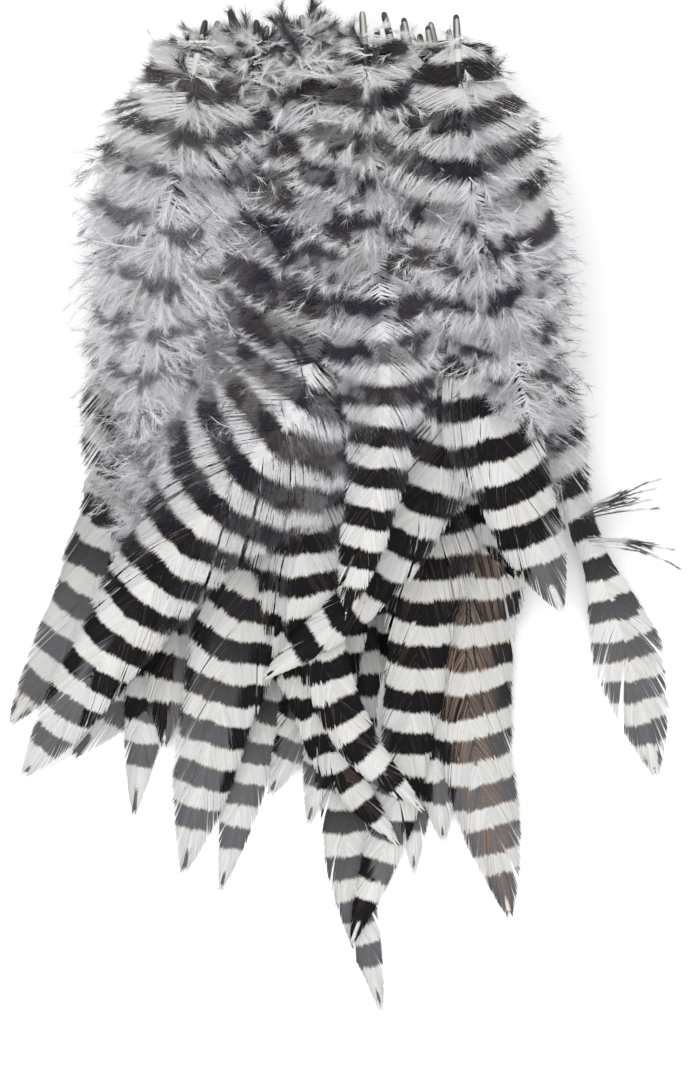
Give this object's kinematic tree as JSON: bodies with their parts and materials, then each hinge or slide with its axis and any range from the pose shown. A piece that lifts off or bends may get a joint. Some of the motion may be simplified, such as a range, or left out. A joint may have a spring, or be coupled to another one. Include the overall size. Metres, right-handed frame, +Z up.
{
  "type": "strung bunch of barred schlappen feathers",
  "caption": "Strung bunch of black and white barred schlappen feathers, fluffy at the quills and fanning out to pointed tips, lying flat.",
  "frame": {"origin": "On the surface that the bunch lies on, under the middle of its bounding box.", "axes": "+Z up from the surface, +Y towards the row of quills, +X to the right when looked down on with the quills away from the viewer."},
  "size_m": [0.1336, 0.2012, 0.0307],
  "materials": {
    "feather": "matte",
    "thread": "matte"
  },
  "bodies": {
    "root": {"feather_01": "feather", "feather_02": "feather", "feather_03": "feather", "feather_04": "feather", "feather_05": "feather", "feather_06": "feather", "feather_07": "feather", "feather_08": "feather", "feather_09": "feather", "feather_10": "feather", "feather_11": "feather", "feather_12": "feather", "feather_13": "feather", "feather_14": "feather", "feather_15": "feather", "feather_16": "feather", "feather_17": "feather", "feather_18": "feather", "feather_19": "feather", "feather_20": "feather", "feather_21": "feather", "feather_22": "feather", "feather_23": "feather", "feather_24": "feather", "feather_25": "feather", "feather_26": "feather", "feather_27": "feather", "feather_28": "feather", "feather_29": "feather", "feather_30": "feather", "stringing_thread": "thread"}
  },
  "joints": []
}
